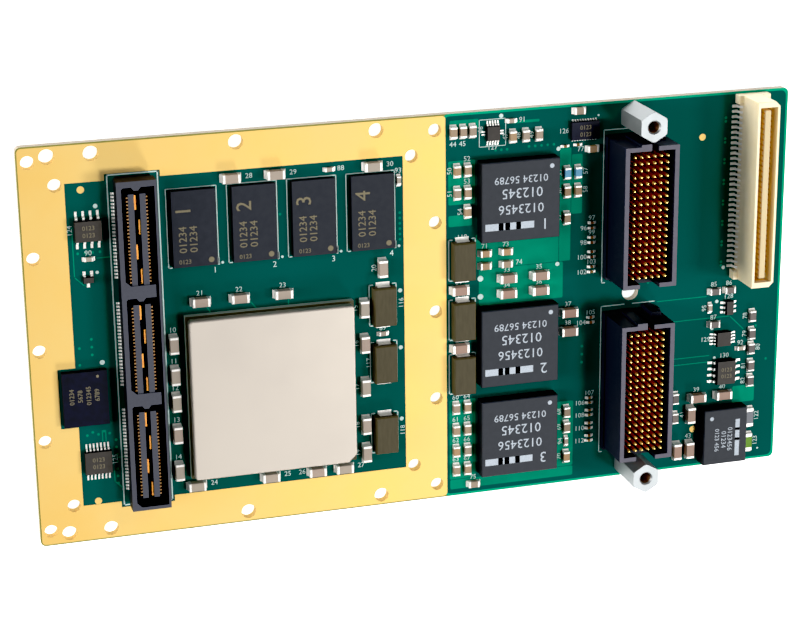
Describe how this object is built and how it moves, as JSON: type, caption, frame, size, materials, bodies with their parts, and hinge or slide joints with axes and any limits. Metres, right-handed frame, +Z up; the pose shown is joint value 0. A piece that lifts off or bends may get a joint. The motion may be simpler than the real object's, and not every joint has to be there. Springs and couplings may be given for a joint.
{
  "type": "xmc mezzanine card",
  "caption": "Rectangular mezzanine circuit card with a gold thermal frame, a lidded processor, memory, power modules, standoffs and shrouded pin connectors.",
  "frame": {"origin": "the centre of the card's outline, on the plane that its standoff screws' heads rest on", "axes": "+X from the front edge towards the rear connectors, +Y across the card to the side with the side connector, +Z up from the component side"},
  "size_m": [0.1438, 0.074, 0.0133],
  "materials": {
    "solder_mask": "green solder mask over glass-fibre laminate",
    "gold_plating": "satin gold plating",
    "package_substrate": "dark laminate",
    "package_lid": "pale nickel plating, satin",
    "chip_moulding": "black moulding compound",
    "module_moulding": "dark grey moulding compound",
    "polymer_moulding": "brown-grey moulding compound",
    "capacitor_ceramic": "pinkish grey fired ceramic",
    "fuse_ceramic": "grey fired ceramic",
    "indicator_lens": "clear green resin",
    "pin_shroud": "black moulded plastic",
    "contact_moulding": "dark grey moulded plastic",
    "cream_moulding": "cream moulded plastic",
    "contact_gold": "polished gold plating",
    "blade_gold": "rolled copper alloy, gold-plated",
    "tinned_lead": "bright tin plating",
    "standoff_metal": "bright plated hexagon bar",
    "screw_steel": "zinc-plated steel"
  },
  "bodies": {
    "root": {"circuit_board": "solder_mask", "eight_lead_chip_front": "chip_moulding", "eight_lead_chip_rear": "chip_moulding", "eight_lead_small_chip": "chip_moulding", "flash_chip": "chip_moulding", "fourteen_lead_chip": "chip_moulding", "front_connector_blades": "blade_gold", "front_connector_housing": "contact_moulding", "fuse": "fuse_ceramic", "indicator": "indicator_lens", "memory_chip_1": "chip_moulding", "memory_chip_2": "chip_moulding", "memory_chip_3": "chip_moulding", "memory_chip_4": "chip_moulding", "module_capacitors": "capacitor_ceramic", "module_chips": "capacitor_ceramic", "polymer_capacitor_1": "polymer_moulding", "polymer_capacitor_2": "polymer_moulding", "polymer_capacitor_3": "polymer_moulding", "polymer_capacitor_4": "polymer_moulding", "polymer_capacitor_5": "polymer_moulding", "polymer_capacitor_6": "polymer_moulding", "power_module_1": "module_moulding", "power_module_2": "module_moulding", "power_module_3": "module_moulding", "power_module_small": "module_moulding", "processor_capacitors": "capacitor_ceramic", "processor_lid": "package_lid", "processor_substrate": "package_substrate", "rear_capacitors": "capacitor_ceramic", "rear_chips": "capacitor_ceramic", "rear_connector_lower_pins": "contact_gold", "rear_connector_lower_shroud": "pin_shroud", "rear_connector_upper_pins": "contact_gold", "rear_connector_upper_shroud": "pin_shroud", "regulator": "chip_moulding", "side_connector_housing": "cream_moulding", "side_connector_leads": "tinned_lead", "six_lead_chip": "chip_moulding", "small_chips": "capacitor_ceramic", "standoff_lower": "standoff_metal", "standoff_screws": "screw_steel", "standoff_upper": "standoff_metal", "thermal_frame": "gold_plating", "transistor": "chip_moulding", "twenty_lead_chip": "chip_moulding"}
  },
  "joints": []
}
